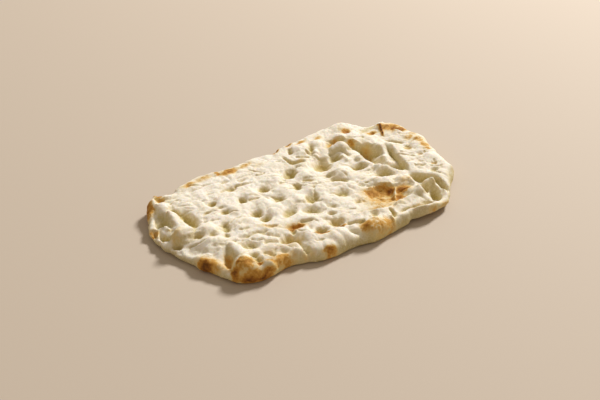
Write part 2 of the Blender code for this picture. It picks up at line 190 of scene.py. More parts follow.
# points along a step, its rise on the left and how far that reaches, its drop on the right and how far
# that reaches, and the width of the step itself
steps = [
    # wedge of the front rim
    ([(-61, -81), (-65, -73), (-71, -66), (-80, -60), (-91, -52)], 2.5, 9, 2.5, 6, 2.5),
    # upper lip of the big fold, the puffed end over its crevice, and the second lip in front
    ([(70, 66), (78, 58), (84, 48), (89, 38), (94, 28), (98, 18), (99, 6)], 4.5, 34, 7.5, 14, 7.5),
    ([(110, 25), (109, 17), (107, 8), (104, 0), (101, -10), (98, -20), (94, -30)], 2.5, 26, 5.0, 16, 8.0),
    ([(90, -31), (97, -37), (103, -44), (107, -54), (108, -64), (105, -75)], 1.0, 14, 4.5, 7, 4.0),
    # low ridge before the trough, and the smooth roll along the front
    ([(68, 22), (70, 12), (75, 3), (79, -6), (85, -12), (90, -21), (90, -31)], 1.0, 6, -1.5, 8, 3.0),
    ([(86, -58), (78, -59), (68, -63), (52, -64), (34, -66), (14, -62), (-2, -60)], 2.5, 9, 1.5, 6, 4.0),
]

# x, y, half length, half width, turn, how brown (0 is pale and 1 nearly burnt), and the level of a patch
# on the side; most are the oven's browning, and three are painted shade, marked below
bakedAndShadedSpots = [
    # horn and left end
    (-141, 60, 16, 8, 58, 0.64), (-126, 67, 6, 4, -10, 0.36), (-127, 72, 7, 3, -10, 0.85),
    # the patch at (-144, 3) is painted shade: a tan darkening of the dome's face, which is turned from the
    # lamp
    (-154, 27, 8, 7, 70, 0.5, 8.0), (-144, 3, 14, 10, 60, 0.2), (-125, -8, 9, 6, 0, 0.12),
    (-141, -41, 11, 8, -60, 0.78), (-139, -43, 17, 12, -60, 0.42), (-130, -52, 10, 6, -50, 0.25),
    (-117, -68, 12, 10, 0, 0.48), (-116, -75, 16, 9, -5, 0.56, 9.0), (-121, -47, 5, 9, 0, 0.36),
    (-119, -76, 13, 8, -20, 0.85, 5.0), (-127, -66, 4, 6, 0, 0.8), (-121, -62, 6, 2.5, 25, 0.7),
    (-101, -78, 12, 5, 10, 0.6, 9.0), (-107, -79, 13, 6, 10, 0.82, 4.0), (-106, -67, 8, 3, -70, 0.7),
    (-95, -74, 10, 5, -30, 0.5), (-125, -53, 11, 6, 66, 0.45), (-90, -64, 12, 6, -40, 0.2),
    (-83, -74, 14, 8, -10, 0.46), (-62, -80, 10, 5, 0, 0.2),
    # middle
    (-69, -31, 14, 5, -35, 0.25), (-49, -43, 12, 6, -16, 0.5), (-55, -44, 4, 3, 0, 0.9),
    (-37, -66, 8, 3, -20, 0.95), (-17, -58, 10, 8, -30, 0.14), (-17, -64, 8, 2.5, -20, 0.6),
    (-20, -66, 5, 3, 0, 0.5), (-62, -57, 14, 10, 10, 0.2), (-43, -85, 9, 3.5, -10, 0.58),
    (-41, -88, 14, 5, -10, 0.2), (9, -84, 15, 10, -10, 0.42), (1, -81, 9, 8, -10, 0.58),
    # the patch at (38, 37) is painted shade: a khaki darkening of the deep hollow's wall
    (22, -85, 11, 10, 0, 0.4), (22, 49, 5, 3, 0, 0.2), (38, 37, 14, 10, 38, 0.14), (7, 13, 8, 3, -45, 0.16),
    (-56, 15, 6, 2, -20, 0.18),
    # scorched hollow
    (40, -51, 26, 19, -20, 0.34), (45, -38, 18, 9, -20, 0.52), (60, -44, 8, 7, -20, 0.76),
    (56, -56, 11, 8, -20, 0.66), (55, -37, 12, 6, -30, 0.46), (67, -50, 12, 9, -20, 0.66),
    (78, -42, 9, 6, -20, 0.24), (30, -62, 16, 4, -12, 0.3), (50, -66, 12, 5, 0, 0.15),
    # right end
    (92, 67, 7, 5, 10, 0.72), (90, 72, 6, 5, 0, 0.25), (113, 51, 8, 5, 0, 0.5), (61, 74, 8, 4, 20, 0.35),
    # the patch at (90, 30) is painted shade: a darker khaki in the trough under the puffed end's lip
    (68, 58, 13, 5.5, 25, 0.5), (90, 30, 16, 7, 70, 0.3), (84, 48, 7, 4, -30, 0.45),
    (127, 57, 6, 5, 0, 0.25), (136, 47, 15, 12, -30, 0.5), (136, 43, 7, 5, 0, 0.7),
    (142, 38, 9, 5, -40, 0.75), (138, 20, 9, 6, 0, 0.3), (146, 24, 7, 5, 0, 0.3), (144, 12, 9, 7, 60, 0.42),
    (142, 0, 9, 7, 60, 0.5), (138, -8, 6, 5, 0, 0.4), (124, 6, 6, 5, 0, 0.32), (124, -12, 4, 3, 0, 0.32),
    (124, -33, 4, 3, 0, 0.32),
    # far side
    (-90, 76, 11, 6, 0, 0.36), (-74, 77, 12, 6, 0, 0.36), (-58, 75, 4, 7, 0, 0.55),
    (-48, 72, 12, 8, 10, 0.62), (-30, 73, 13, 5, 10, 0.34), (-18, 66, 11, 6, 20, 0.14),
    (29, 81, 6, 2.5, 10, 0.8), (41, 77, 10, 3, 10, 0.4), (14, 81, 9, 3, 40, 0.75),
    # front edge
    (56, -88, 8, 3, 0, 0.25), (74, -90, 12, 4, 0, 0.34), (92, -86, 12, 4, 10, 0.3),
    (66, -80, 12, 3, -5, 0.22),
]

# points along a baked line, its half width, and how brown it is or, below zero, how pale
bakedLines = [
    ([(131, 64), (126, 51), (117, 36)], 1.3, 1.0),
    ([(66, -42), (61, -48), (56, -54), (51, -60)], 1.6, -0.45),
    ([(-131, 70), (-134, 62), (-135, 54)], 2.2, -0.35),
]


brush = {
    "outlineCuts": 16, "lineCuts": 8,  # points from one knot of a curve to the next
    "levelWithin": 2.0,  # a place's level is that of the highest point this near to it
    "reachUp": 13.0,  # how far above or below its level a brush or a line still has an effect
    "sideReachUp": 6.0, "bakedReachUp": 26.0,  # the same for a spot on the side, and for the oven's browning
    "span": 2.2,  # no brush reaches further out than this, in its own half sizes
    "domeFall": 1.1,  # a higher number makes a dome more pointed
    "wellFloor": 0.15, "wellShare": 0.65,  # a dimple's flat middle, and the share of its depth in its well
    "skirt": 2.1, "skirtShare": 0.45,  # its shallow skirt is this much wider, and has this share of the depth
    "overlap": 0.35,  # where two dimples meet, the shallower one adds this share of its depth
    "lineSpan": 3, "lineFall": 1.2,  # how far a fold reaches, in half widths, and how fast it falls off
    "stepSpan": 1.1,  # how far a step is worked out, in its own reaches
    "endFade": 0.2,  # a line fades out over this share of its length, at both ends
    "bakedFloor": 0.15, "bakedFade": 1.15,  # a baked patch's even middle, and how far its browning fades
}


def smoothStep(value):
    t = np.clip(value, 0.0, 1.0)
    return t * t * (3.0 - 2.0 * t)


def spline(points, cuts, closed=False):
    knots = np.array(points, float)
    if closed:
        knots = np.concatenate([knots[-1:], knots, knots[:2]])
    else:
        knots = np.concatenate([2 * knots[:1] - knots[1:2], knots, 2 * knots[-1:] - knots[-2:-1]])
    t = np.linspace(0.0, 1.0, cuts, endpoint=False)[:, None]
    run = []
    for a, b, c, d in zip(knots, knots[1:], knots[2:], knots[3:]):
        bend = (2 * a - 5 * b + 4 * c - d) * t**2 + (3 * b - 3 * c + d - a) * t**3
        run.append(0.5 * (2 * b + (c - a) * t + bend))
    if not closed:
        run.append(knots[-2:-1])
    return np.concatenate(run)


def edgeDistance(bearing):
    # from the middle of the plan out to the outline
    loop = spline(outline, brush["outlineCuts"], closed=True)
    angles = np.arctan2(loop[:, 1], loop[:, 0])
    order = np.argsort(angles)
    return np.interp(bearing, angles[order], np.hypot(*loop.T)[order], period=2 * math.pi)


def cutBlock(cuts):
    block = bmesh.new()
    bmesh.ops.create_cube(block, size=2.0)
    for axis, count in enumerate(cuts):
        along = [e for e in block.edges if abs(e.verts[0].co[axis] - e.verts[1].co[axis]) > 1.0]
        bmesh.ops.subdivide_edges(block, edges=along, cuts=count - 1, use_grid_fill=True)
    mesh = bpy.data.meshes.new("dough")
    block.to_mesh(mesh)
    block.free()
    return mesh


def readVectors(items, name):
    flat = np.empty(len(items) * 3)
    items.foreach_get(name, flat)
    return flat.reshape(-1, 3)


def setPoints(mesh, points):
    # moves the mesh's points and gives back its new normals
    mesh.vertices.foreach_set("co", points.astype(np.float32).ravel())
    mesh.update()
    return readVectors(mesh.vertex_normals, "vector")


def pressSlab(block):
    # turns the block, two units each way, into the plain slab with its outline and rim
    u, v, w = block.T
    half = 0.5 * np.ptp(np.array(outline), axis=0)
    disc = np.stack([u * np.sqrt(1 - v * v / 2), v * np.sqrt(1 - u * u / 2)], axis=1)
    share = np.minimum(np.hypot(*disc.T), 1.0)
    plan = disc * half
    bearing = np.arctan2(plan[:, 1], plan[:, 0])
    oval = np.hypot(*plan.T) / np.maximum(share, 1e-6)
    edge = edgeDistance(bearing)
    angles, crests, insets = np.array(rim, float).T
    crest = np.interp(bearing, np.radians(angles), crests, period=2 * math.pi)
    roll = np.interp(bearing, np.radians(angles), insets, period=2 * math.pi)
    climb = 0.5 * math.pi * w
    inset = np.where(w > 0, roll, slab["tuck"]) * (1.0 - np.cos(climb))
    side = slab["waist"] + np.sin(climb) * np.where(w > 0, crest - slab["waist"], slab["waist"])
    blend = share**4  # an oval in the middle, the outline at the edge
    radius = share * (oval * (1 - blend) + edge * blend) - share * inset
    inward = (1.0 - share) * edge
    top = slab["middle"] + (crest - slab["middle"]) * (1.0 - smoothStep(inward / slab["slope"]))
    height = np.where(share > slab["wall"], side, np.where(w > 0, top, 0.0))
    curl = slab["curl"]
    off = (np.degrees(bearing) - curl["bearing"] + 180.0) % 360.0 - 180.0
    lift = curl["lift"] * smoothStep(1.0 - np.abs(off) / curl["spread"])
    lift = lift * smoothStep(1.0 - inward / curl["reach"])
    height = height + lift * (1.0 - curl["lost"] * height / crest)
    return np.column_stack([np.cos(bearing) * radius, np.sin(bearing) * radius, height])


def levelAt(points, x, y):
    near = np.hypot(points[:, 0] - x, points[:, 1] - y)
    return points[near < near.min() + brush["levelWithin"], 2].max()


def brushShare(points, row, reachUp):
    # the points that a brush reaches, and how far out in it they lie: 0 in its middle, 1 at its edge
    x, y, long, wide, turn = row[:5]
    size = brush["span"] * max(long, wide)
    near = np.flatnonzero((np.abs(points[:, 0] - x) < size) & (np.abs(points[:, 1] - y) < size))
    c, s = math.cos(math.radians(turn)), math.sin(math.radians(turn))
    dx, dy = points[near, 0] - x, points[near, 1] - y
    along = (dx * c + dy * s) / long
    across = (dy * c - dx * s) / wide
    level = levelAt(points, x, y)
    if len(row) > 6:
        level, reachUp = row[6], brush["sideReachUp"]
    up = (points[near, 2] - level) / reachUp
    return near, np.sqrt(along**2 + across**2 + up**2)


def followLine(points, knots, reach):
    # the points near a line, their distance from it, on which side they lie, and a fade at its ends
    run = spline(knots, brush["lineCuts"])
    low, high = run.min(axis=0) - reach, run.max(axis=0) + reach
    near = np.flatnonzero(((points[:, :2] > low) & (points[:, :2] < high)).all(axis=1))
    spots = points[near, :2]
    gap = np.full(len(near), np.inf)
    side = np.zeros(len(near))
    travel = np.zeros(len(near))
    lengths = np.hypot(*np.diff(run, axis=0).T)
    total = lengths.sum()
    done = 0.0
    for a, b, length in zip(run, run[1:], lengths):
        step = b - a
        offset = spots - a
        t = np.clip(offset @ step / (length * length), 0.0, 1.0)
        away = np.hypot(*(offset - t[:, None] * step).T)
        closer = away < gap
        cross = step[0] * offset[:, 1] - step[1] * offset[:, 0]
        gap = np.where(closer, away, gap)
        side = np.where(closer, np.sign(cross) * away, side)
        travel = np.where(closer, done + t * length, travel)
        done += length
    fade = brush["endFade"] * total
    ends = smoothStep(travel / fade) * smoothStep((total - travel) / fade)
    level = levelAt(points, *run[len(run) // 2])
    ends = ends * (1.0 - smoothStep(np.abs(points[near, 2] - level) / brush["reachUp"]))
    return near, gap, side, ends


def sculpt(points, normals):
    # domes and dimples move the surface along its normals, folds and steps lift or lower it
    puff = np.zeros(len(points))
    for row in domes:
        near, away = brushShare(points, row, brush["reachUp"])
        bulge = np.clip(1.0 - away**2, 0.0, 1.0) ** brush["domeFall"]
        puff[near] = np.maximum(puff[near], row[5] * bulge)
    press = np.zeros(len(points))
    for row in dimples:
        near, away = brushShare(points, row, brush["reachUp"])
        floor = brush["wellFloor"]
        well = brush["wellShare"] * (1.0 - smoothStep((away - floor) / (1.0 - floor)))
        well = well + brush["skirtShare"] * (1.0 - smoothStep(away / brush["skirt"]))
        deeper = np.maximum(press[near], row[5] * well)
        press[near] = deeper + brush["overlap"] * np.minimum(press[near], row[5] * well)
    lift = np.zeros(len(points))
    for knots, wide, high in folds + smallFolds():
        near, gap, _, ends = followLine(points, knots, brush["lineSpan"] * wide)
        lift[near] += high * ends * np.exp(-brush["lineFall"] * (gap / wide) ** 2)
    for knots, rise, riseReach, drop, dropReach, wide in steps:
        near, gap, side, ends = followLine(points, knots, brush["stepSpan"] * max(riseReach, dropReach))
        left = smoothStep(0.5 + side / wide)
        up = rise * left * (1.0 - smoothStep(gap / riseReach))
        down = drop * (1.0 - left) * (1.0 - smoothStep(gap / dropReach))
        lift[near] += ends * (up - down)
    moved = normals * (puff - press)[:, None]
    moved[:, 2] += lift
    return moved


smallFold = {
    "count": 150, "seed": 7,
    "length": (9.0, 26.0), "depth": (0.5, 1.3), "wide": (0.8, 1.6),
    "within": (150, 85), "margin": 12.0,  # half sizes of the field they lie in, and how far from the edge
    "turn": (-12.0, 32.0),  # mean and spread
    "bend": 0.5, "bow": 6,  # most that one turns along its length, and how far that bows it sideways
}


def smallFolds():
    # short creases all over the top, most of them along the crust, as the dough was stretched that way
    rng = np.random.default_rng(smallFold["seed"])
    found = []
    while len(found) < smallFold["count"]:
        x, y = (rng.uniform(-half, half) for half in smallFold["within"])
        if math.hypot(x, y) > edgeDistance(math.atan2(y, x)) - smallFold["margin"]:
            continue
        turn = math.radians(rng.normal(*smallFold["turn"]))
        bend = rng.uniform(-smallFold["bend"], smallFold["bend"])
        length = rng.uniform(*smallFold["length"])
        knots = []
        for t in (-0.5, -0.17, 0.17, 0.5):
            heading = turn + bend * t
            along = x + math.cos(heading) * length * t
            across = y + math.sin(heading) * length * t + smallFold["bow"] * bend * t * t
            knots.append((along, across))
        found.append((knots, rng.uniform(*smallFold["wide"]), -rng.uniform(*smallFold["depth"])))
    return found


# size and height of each kind of relief, and for some the pattern's usual value, which is taken off it
relief = {
    "cushion": (14.0, 1.0, 0.6),  # soft cushions between the creases
    "warp": (20.0, 0.35),  # how the cushions are pulled out of shape
    "wave": (8.0, 0.5),  # uneven swelling
    "wrinkle": (5.5, 0.32, 0.25),  # long narrow wrinkles
    "stretch": (3.2, 0.2),  # how much longer than wide they are, and their slant
    "crumple": (5.0, 0.45, 0.2),  # small pinches with sharp bottoms
    "apart": (7.0, 3.0, 5.0),  # sets the pinches' pattern apart from the wrinkles'
    "grain": (2.2, 0.18),  # coarse grain of the crust
    "crater": (7.0, 0.5),  # shallow craters of the underside
    # fall-off, change in size and number of the layers of these three
    "layers": {"wave": (1.0, 2.0, 3), "grain": (0.9, 2.0, 2), "crater": (0.8, 2.0, 3)},
    "calm": 4.0,  # the relief fades out this close to the underside
    "seed": 1795539632,  # of the noise that pulls the cushions, which the clock would seed otherwise
}


def roughen(points, normals):
    noise.seed_set(relief["seed"])
    amount = np.zeros(len(points))
    cushionSize, cushionHigh, cushionUsual = relief["cushion"]
    warpSize, warpShare = relief["warp"]
    waveSize, waveHigh = relief["wave"]
    wrinkleSize, wrinkleHigh, wrinkleUsual = relief["wrinkle"]
    longer, slant = relief["stretch"]
    crumpleSize, crumpleHigh, crumpleUsual = relief["crumple"]
    apart = Vector(relief["apart"])
    grainSize, grainHigh = relief["grain"]
    layers = relief["layers"]
    for i, p in enumerate(points):
        v = Vector(p)
        near = noise.voronoi(v / cushionSize + warpShare * noise.noise_vector(v / warpSize))[0]
        cushion = min(near[1] - near[0], 0.5) * 2.0 - cushionUsual
        wave = noise.fractal(v / waveSize, *layers["wave"])
        stretched = Vector((v.x / longer, v.y + slant * v.x, v.z)) / wrinkleSize
        wrinkle = abs(noise.noise(stretched)) - wrinkleUsual
        crumple = abs(noise.noise(v / crumpleSize + apart)) - crumpleUsual
        grain = noise.fractal(v / grainSize, *layers["grain"])
        amount[i] = cushionHigh * cushion + waveHigh * wave + wrinkleHigh * wrinkle
        amount[i] += crumpleHigh * crumple + grainHigh * grain
    return normals * amount[:, None]


def craters(points):
    # the underside touches the oven's stone, but not everywhere
    size, high = relief["crater"]
    layers = relief["layers"]["crater"]
    return np.array([high * max(0.0, noise.fractal(Vector(p) / size, *layers)) for p in points])


def evenOut(mesh, values, rounds):
    # blurs a value over the mesh by sharing it along the edges
    pairs = np.empty(len(mesh.edges) * 2, int)
    mesh.edges.foreach_get("vertices", pairs)
    a, b = pairs.reshape(-1, 2).T
    count = np.bincount(a, minlength=len(values)) + np.bincount(b, minlength=len(values))
    for _ in range(rounds):
        total = np.bincount(a, values[b], len(values)) + np.bincount(b, values[a], len(values))
        values = 0.5 * values + 0.5 * total / count
    return values


def bakedAndShadedShare(points):
    # the oven's browning, and on a few patches painted shade
    baked = np.zeros(len(points))
    for row in bakedAndShadedSpots:
        near, away = brushShare(points, row, brush["bakedReachUp"])
        brown = row[5] * (1.0 - smoothStep((away - brush["bakedFloor"]) / brush["bakedFade"]))
        baked[near] = np.maximum(baked[near], brown)
    for knots, wide, amount in bakedLines:
        near, gap, _, ends = followLine(points, knots, brush["lineSpan"] * wide)
        baked[near] += amount * ends * np.exp(-((gap / wide) ** 2))
    return np.clip(baked, 0.0, 1.0)


def writeValues(mesh, name, values):
    layer = mesh.attributes.new(name, "FLOAT", "POINT")
    layer.data.foreach_set("value", values.astype(np.float32))


def linked(name, mesh):
    made = bpy.data.objects.new(name, mesh)
    bpy.context.scene.collection.objects.link(made)
    return made


def plainMesh(maker, name):
    # the mesh that an object's modifiers make, on a new object without them
    ready = maker.evaluated_get(bpy.context.evaluated_depsgraph_get())
    mesh = bpy.data.meshes.new_from_object(ready)
    bpy.data.objects.remove(maker)
    return linked(name, mesh)


# what the colours read from the finished form
traces = {
    "farRounds": 400, "nearRounds": 16,  # rounds of evening out that give the level around a point
    "sunk": 3.2,  # a hollow this far below the level around it has lost part of its flour and gets the full painted shade
    "steepFrom": 0.88, "steepOver": 0.5, "steepShare": 0.75,  # and so, in part, has a steep slope: painted shade that does not depend on where the lamp is
    "creased": 0.55,  # depth at which a crease's painted shade shows fully
    "soften": {"hollow": 5, "crease": 2, "under": 3},  # rounds
}


def makeCrust():
    mesh = cutBlock(slab["grid"])
    block = readVectors(mesh.vertices, "co")
    resting = block[:, 2] < slab["flat"]
    points = pressSlab(block)
    moved = sculpt(points, setPoints(mesh, points))
    moved[resting] = 0.0
    points = points + moved
    print("crust pressed and dimpled")
    rough = roughen(points, setPoints(mesh, points))
    rough[resting] = 0.0
    points = points + rough * smoothStep(points[:, 2] / relief["calm"])[:, None]
    points[:, 2] = np.maximum(points[:, 2], 0.0)
    level = evenOut(mesh, points[:, 2], traces["farRounds"])
    ledge = evenOut(mesh, points[:, 2], traces["nearRounds"])
    baked = bakedAndShadedShare(points)
    below = resting & (np.abs(points[:, 2]) < slab["lying"])
    points[below, 2] += craters(points[below])
    points[:, :2] -= slab["centre"]
    print("crust is", np.ptp(points, axis=0).round(1), "mm, from", points.min(axis=0).round(1))
    slope = setPoints(mesh, points * mm)[:, 2]
    steep = traces["steepShare"] * smoothStep((traces["steepFrom"] - slope) / traces["steepOver"])
    bareAndShaded = np.maximum(smoothStep((level - points[:, 2]) / traces["sunk"]), steep)
    creased = smoothStep((ledge - points[:, 2]) / traces["creased"])
    soften = traces["soften"]
    # the hollow and crease values paint shade: darker, yellower colour in hollows, on steep slopes and in
    # creases, and in part flour that is lost there
    writeValues(mesh, "hollow", evenOut(mesh, bareAndShaded, soften["hollow"]))
    writeValues(mesh, "crease", evenOut(mesh, creased, soften["crease"]))
    writeValues(mesh, "baked", baked)
    writeValues(mesh, "floury", flouryShare(points, slope, baked))
    writeValues(mesh, "under", evenOut(mesh, resting.astype(float), soften["under"]))
    mesh.shade_smooth()
    maker = linked("doughMaker", mesh)
    thin = maker.modifiers.new("thin", "DECIMATE")
    thin.ratio = slab["triangles"] / (2 * len(mesh.polygons))
    crust = plainMesh(maker, "crust_dough")
    bpy.data.meshes.remove(mesh)
    crust.data.shade_smooth()
    print("crust has", len(crust.data.polygons), "faces")
    return crust


def toLinear(text):
    parts = [int(text[i:i + 2], 16) / 255 for i in (0, 2, 4)]
    return [c / 12.92 if c <= 0.04045 else ((c + 0.055) / 1.055) ** 2.4 for c in parts] + [1.0]


def perMetre(size):
    # scale of a pattern whose lumps are this many millimetres across
    return 1.0 / (size * mm)


def addNode(tree, kind, settings=None, links=None):
    # adds a node: settings fill its inputs by number or name, its ramp's stops, or its own options
    # (the two colours that a mix node mixes are its inputs 6 and 7, and its mixed colour is its output 2)
    node = tree.nodes.new(kind)
    for name, value in (settings or {}).items():
        if name == "stops":
            for _ in value[2:]:
                node.color_ramp.elements.new(1.0)
            for stop, (place, colour) in zip(node.color_ramp.elements, value):
                stop.position = place
                stop.color = toLinear(colour)
        elif isinstance(name, int) or name in node.inputs:
            node.inputs[name].default_value = value
        else:
            setattr(node, name, value)
    for name, source in (links or {}).items():
        tree.links.new(source, node.inputs[name])
    return node


dough = {
    # the hollow and crease colours are painted shade in khaki and straw, and partly bare dough
    "flour": "FBF3E7", "dough": "F2E8D2", "hollow": "C0AC64", "crease": "CDBB7C",
    "bake": [(0.0, "EBDBB0"), (0.2, "E4C67F"), (0.4, "D1A04C"), (0.58, "BA8230"), (0.75, "99611F"),
             (0.9, "704516"), (1.0, "4A280F")],
    # size, detail and twist of each pattern; the flour's dust and stipple and the pores are drawn coarser
    # than they are, so that they show
    "patterns": {"patch": (9.0, 4, 0.0), "dust": (2.2, 3, 0.0), "stipple": (1.6, 3, 0.0),
                 "pore": (1.1, 4, 0.0), "blotch": (8.0, 3, 0.6), "speckle": (3.2, 4, 0.0)},
    "fine": 0.62,  # how strong the patterns' fine detail is
    # what the patterns and the places of the grains add to the film of flour, and what a hollow takes off it,
    # which darkens it as painted shade as well as by showing the dough
    "patchFlour": {"From Min": 0.38, "From Max": 0.6, "To Max": 0.45},
    "dustFlour": {"From Min": 0.42, "From Max": 0.56, "To Max": 0.55},
    "grainFlour": 0.5, "hollowLoss": 0.7,
    # how much of the painted shade colours of the hollows and the creases shows between specks of flour
    "hollowShare": {"From Min": 0.48, "From Max": 0.6, "To Min": 0.95, "To Max": 0.6},
    "creaseShare": 0.6,
    # how brown the stone has made the underside
    "toasted": {"From Min": 0.4, "From Max": 0.7, "To Min": 0.08, "To Max": 0.5},
    # how uneven the browning is, and how brown a place is where that shows fully and where no flour is left
    "speckled": 0.9, "blotched": 0.6,
    "uneven": {"From Max": 0.45},
    "bakedCover": {"From Min": 0.03, "From Max": 0.36},
    "poreDepth": 0.6, "poreShare": 0.35,
    "roughness": 0.82, "specular": 0.3, "diffuseRoughness": 0.4,
    # how much light goes in, how deep, and what share of that in red, green and blue
    "subsurface": 0.2, "lightDepth": 3.0, "lightSpread": (1.0, 0.75, 0.45),
}


def doughMaterial():
    # Par-baked wheat dough under a film of flour: a dry, matt crust that lets a little light in. The flour
    # is ivory and thinner in the hollows, and the hollows, steep slopes and creases are given painted shade
    # in khaki and straw yellow; the oven has turned what stood up highest golden, tan and brown, and a few
    # patches of the same colours are painted shade.
    material = bpy.data.materials.new("flouredParBakedDough")
    material.use_nodes = True
    tree = material.node_tree
    shader = tree.nodes["Principled BSDF"]
    place = addNode(tree, "ShaderNodeTexCoord").outputs["Object"]
    baked, hollow, crease, under, floury = (
        addNode(tree, "ShaderNodeAttribute", {"attribute_name": name}).outputs["Fac"]
        for name in ("baked", "hollow", "crease", "under", "floury"))
    patterns = {}
    for name, (size, detail, twist) in dough["patterns"].items():
        settings = {"Scale": perMetre(size), "Detail": detail, "Distortion": twist,
                    "Roughness": dough["fine"]}
        patterns[name] = addNode(tree, "ShaderNodeTexNoise", settings, {"Vector": place}).outputs["Fac"]

    # flour lies in patches and in fine dust, and less of it stays in the hollows; the hollows, steep slopes
    # and creases also take painted shade in khaki and straw
    patch = addNode(tree, "ShaderNodeMapRange", dough["patchFlour"], {"Value": patterns["patch"]}).outputs[0]
    dust = addNode(tree, "ShaderNodeMapRange", dough["dustFlour"], {"Value": patterns["dust"]}).outputs[0]
    film = addNode(tree, "ShaderNodeMath", {"operation": "ADD"}, {0: patch, 1: dust}).outputs[0]
    film = addNode(tree, "ShaderNodeMath", {"operation": "MULTIPLY_ADD", 1: dough["grainFlour"]},
                   {0: floury, 2: film}).outputs[0]
    lost = addNode(tree, "ShaderNodeMath", {"operation": "MULTIPLY", 1: dough["hollowLoss"]},
                   {0: hollow}).outputs[0]
    film = addNode(tree, "ShaderNodeMath", {"operation": "SUBTRACT", "use_clamp": True},
                   {0: film, 1: lost}).outputs[0]
    colour = addNode(tree, "ShaderNodeMix", {"data_type": "RGBA", 6: toLinear(dough["dough"]),
                                             7: toLinear(dough["flour"])}, {0: film}).outputs[2]
    shown = addNode(tree, "ShaderNodeMapRange", dough["hollowShare"],
                    {"Value": patterns["stipple"]}).outputs[0]
    share = addNode(tree, "ShaderNodeMath", {"operation": "MULTIPLY"}, {0: hollow, 1: shown}).outputs[0]
    colour = addNode(tree, "ShaderNodeMix", {"data_type": "RGBA", 7: toLinear(dough["hollow"])},
                     {0: share, 6: colour}).outputs[2]
    share = addNode(tree, "ShaderNodeMath", {"operation": "MULTIPLY", 1: dough["creaseShare"]},
                    {0: crease}).outputs[0]
    colour = addNode(tree, "ShaderNodeMix", {"data_type": "RGBA", 7: toLinear(dough["crease"])},
                     {0: share, 6: colour}).outputs[2]

    # the underside is toasted by the stone wherever it touched
    stone = addNode(tree, "ShaderNodeMapRange", dough["toasted"], {"Value": patterns["blotch"]}).outputs[0]
    stone = addNode(tree, "ShaderNodeMath", {"operation": "MULTIPLY"}, {0: stone, 1: under}).outputs[0]
    baked = addNode(tree, "ShaderNodeMath", {"operation": "MAXIMUM"}, {0: baked, 1: stone}).outputs[0]

    # baked patches have ragged edges and uneven middles
    speckled, blotched = dough["speckled"], dough["blotched"]
    speckle = addNode(tree, "ShaderNodeMath", {"operation": "MULTIPLY_ADD", 1: speckled, 2: -0.5 * speckled},
                      {0: patterns["speckle"]}).outputs[0]
    ragged = addNode(tree, "ShaderNodeMath", {"operation": "MULTIPLY_ADD", 1: blotched},
                     {0: patterns["blotch"], 2: speckle}).outputs[0]
    ragged = addNode(tree, "ShaderNodeMath", {"operation": "SUBTRACT", 1: 0.5 * blotched},
                     {0: ragged}).outputs[0]
    within = addNode(tree, "ShaderNodeMapRange", dough["uneven"], {"Value": baked}).outputs[0]
    ragged = addNode(tree, "ShaderNodeMath", {"operation": "MULTIPLY"}, {0: ragged, 1: within}).outputs[0]
    tone = addNode(tree, "ShaderNodeMath", {"operation": "ADD", "use_clamp": True},
                   {0: baked, 1: ragged}).outputs[0]
    cover = addNode(tree, "ShaderNodeMapRange", dough["bakedCover"], {"Value": tone}).outputs[0]
    bake = addNode(tree, "ShaderNodeValToRGB", {"stops": dough["bake"]}, {0: tone}).outputs[0]
    colour = addNode(tree, "ShaderNodeMix", {"data_type": "RGBA"}, {0: cover, 6: colour, 7: bake}).outputs[2]
    tree.links.new(colour, shader.inputs["Base Color"])

    settings = {"Strength": dough["poreShare"], "Distance": dough["poreDepth"] * mm}
    pores = addNode(tree, "ShaderNodeBump", settings, {"Height": patterns["pore"]}).outputs[0]
    tree.links.new(pores, shader.inputs["Normal"])
    shader.inputs["Roughness"].default_value = dough["roughness"]
    shader.inputs["Specular IOR Level"].default_value = dough["specular"]
    shader.inputs["Diffuse Roughness"].default_value = dough["diffuseRoughness"]
    shader.inputs["Subsurface Weight"].default_value = dough["subsurface"]
    shader.inputs["Subsurface Radius"].default_value = dough["lightSpread"]
    shader.inputs["Subsurface Scale"].default_value = dough["lightDepth"] * mm
    return material


semolina = {
    "patch": 16.0,  # size of the patches that the grains lie in
    "patchy": (0.55, 1.4),  # how full the patches are, and how much they differ
    "fewer": 0.4, "from": 30.0, "over": 120.0,  # the share on the right half, and where it rises leftwards
    "steepest": 0.5, "levelOver": 0.4,  # a grain needs this upward share of the dough's normal to stay
    "browned": 3.0,  # how fast browning thins the grains out
    "density": 0.32,  # grains on each square millimetre where they lie thickest
    "radius": 0.3,
    "least": (0.6, 0.55, 0.4),  # of the radius, along a grain's three axes
    "most": (1.3, 1.0, 0.8),
    "seed": 11,
    "grain": "F3E7CC", "dusted": "FAF5EA",
    "tint": 1.6, "dustedShare": {"From Min": 0.4, "From Max": 0.6},  # pattern of which grains are dusted
    "roughness": 0.6, "subsurface": 0.15, "lightDepth": 0.4,
}


def flouryShare(points, slope, baked):
    # grains stay where the top is nearly level and pale, most of them on the left half
    left = smoothStep((semolina["from"] - points[:, 0]) / semolina["over"])
    left = semolina["fewer"] + (1.0 - semolina["fewer"]) * left
    level = smoothStep((slope - semolina["steepest"]) / semolina["levelOver"])
    pale = np.clip(1.0 - semolina["browned"] * baked, 0.0, 1.0)
    patches = np.array([noise.noise(Vector(p) / semolina["patch"]) for p in points])
    full, differ = semolina["patchy"]
    return left * level * pale * smoothStep(full + differ * patches)


